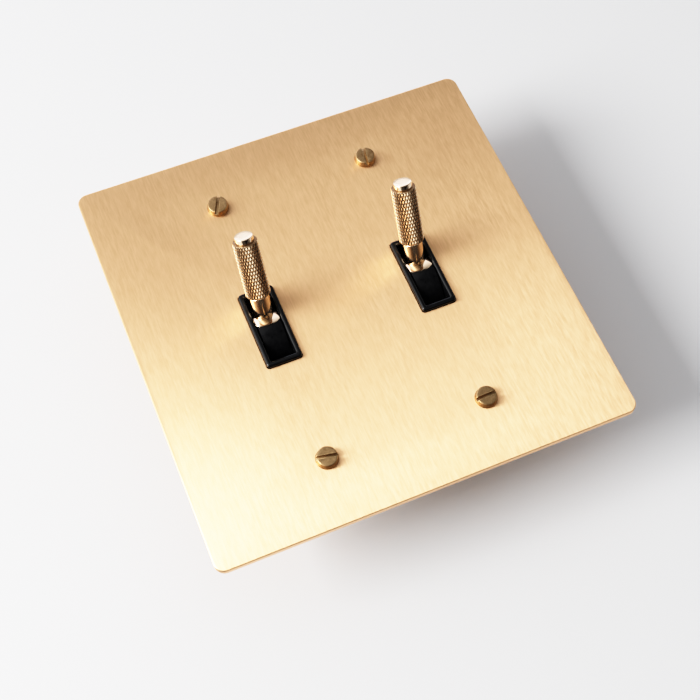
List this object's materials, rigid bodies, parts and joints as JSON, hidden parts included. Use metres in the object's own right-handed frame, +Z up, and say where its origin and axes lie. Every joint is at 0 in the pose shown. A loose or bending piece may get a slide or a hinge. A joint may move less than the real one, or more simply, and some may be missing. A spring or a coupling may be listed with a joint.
{
  "type": "toggle wall switch",
  "caption": "Square brushed brass wall plate with knurled brass toggle levers in black bezels, slotted screws, and a complete rocker switch mechanism behind each lever.",
  "frame": {"origin": "centre of the face plate's back face, in the wall plane, midway between the two levers", "axes": "+Z up the wall, +X to the right seen from the room, -Y out of the wall towards the room, +Y into the wall box. Rest pose: both levers thrown up."},
  "size_m": [0.12, 0.0518, 0.12],
  "materials": {
    "satin_brass": "satin, brushed from top to bottom",
    "polished_brass": "polished and lacquered",
    "knurled_brass": "diamond knurled",
    "antique_brass": "matt, darkened",
    "contact_brass": "plain mill finish",
    "black_gloss": "gloss black",
    "black_satin": "satin black",
    "body_dark": "moulded dark grey",
    "body_grey": "moulded grey",
    "zinc_steel": "zinc plated",
    "bright_steel": "ground",
    "spring_steel": "drawn wire",
    "red_fibre": "vulcanised fibre",
    "acetal": "natural",
    "carrier_plastic": "moulded, tan",
    "silver_contact": "silver",
    "green_zinc": "green coated steel"
  },
  "bodies": {
    "wall_unit": {"face_plate": "satin_brass", "plate_screws": "antique_brass", "screw_retainers": "red_fibre", "left_strap": "zinc_steel", "left_bezel": "black_gloss", "left_body_front": "body_dark", "left_body_back": "body_grey", "left_body_screws": "zinc_steel", "left_toggle_pin": "bright_steel", "left_carrier_pin": "bright_steel", "left_common_terminal": "contact_brass", "left_upper_terminal": "contact_brass", "left_lower_terminal": "contact_brass", "left_fixed_contacts": "silver_contact", "left_terminal_screws": "contact_brass", "left_ground_screw": "green_zinc", "right_strap": "zinc_steel", "right_bezel": "black_gloss", "right_body_front": "body_dark", "right_body_back": "body_grey", "right_body_screws": "zinc_steel", "right_toggle_pin": "bright_steel", "right_carrier_pin": "bright_steel", "right_common_terminal": "contact_brass", "right_upper_terminal": "contact_brass", "right_lower_terminal": "contact_brass", "right_fixed_contacts": "silver_contact", "right_terminal_screws": "contact_brass", "right_ground_screw": "green_zinc"},
    "left_toggle": {"left_toggle_drum": "black_satin", "left_stem_insert": "contact_brass", "left_lever_washer": "polished_brass", "left_lever_stem": "polished_brass", "left_lever_grip": "knurled_brass", "left_lever_cap": "polished_brass", "left_plunger": "acetal", "left_plunger_spring": "spring_steel"},
    "left_rocker": {"left_contact_carrier": "carrier_plastic", "left_contact_bridge": "contact_brass", "left_moving_contacts": "silver_contact"},
    "right_toggle": {"right_toggle_drum": "black_satin", "right_stem_insert": "contact_brass", "right_lever_washer": "polished_brass", "right_lever_stem": "polished_brass", "right_lever_grip": "knurled_brass", "right_lever_cap": "polished_brass", "right_plunger": "acetal", "right_plunger_spring": "spring_steel"},
    "right_rocker": {"right_contact_carrier": "carrier_plastic", "right_contact_bridge": "contact_brass", "right_moving_contacts": "silver_contact"}
  },
  "joints": [
    {"name": "left_toggle_throw", "type": "hinge", "parent": "wall_unit", "child": "left_toggle", "pos_m": [-0.023, 0.0072, 0], "axis": [1, 0, 0], "range_deg": [0, 60]},
    {"name": "left_contact_rock", "type": "hinge", "parent": "wall_unit", "child": "left_rocker", "pos_m": [-0.023, 0.0215, 0], "axis": [1, 0, 0], "range_deg": [-24.05, 0]},
    {"name": "right_toggle_throw", "type": "hinge", "parent": "wall_unit", "child": "right_toggle", "pos_m": [0.023, 0.0072, 0], "axis": [1, 0, 0], "range_deg": [0, 60]},
    {"name": "right_contact_rock", "type": "hinge", "parent": "wall_unit", "child": "right_rocker", "pos_m": [0.023, 0.0215, 0], "axis": [1, 0, 0], "range_deg": [-24.05, 0]}
  ],
  "couplings": [
    {"joint": "left_contact_rock", "follows": "left_toggle_throw", "ratio": -0.4},
    {"joint": "right_contact_rock", "follows": "right_toggle_throw", "ratio": -0.4}
  ]
}
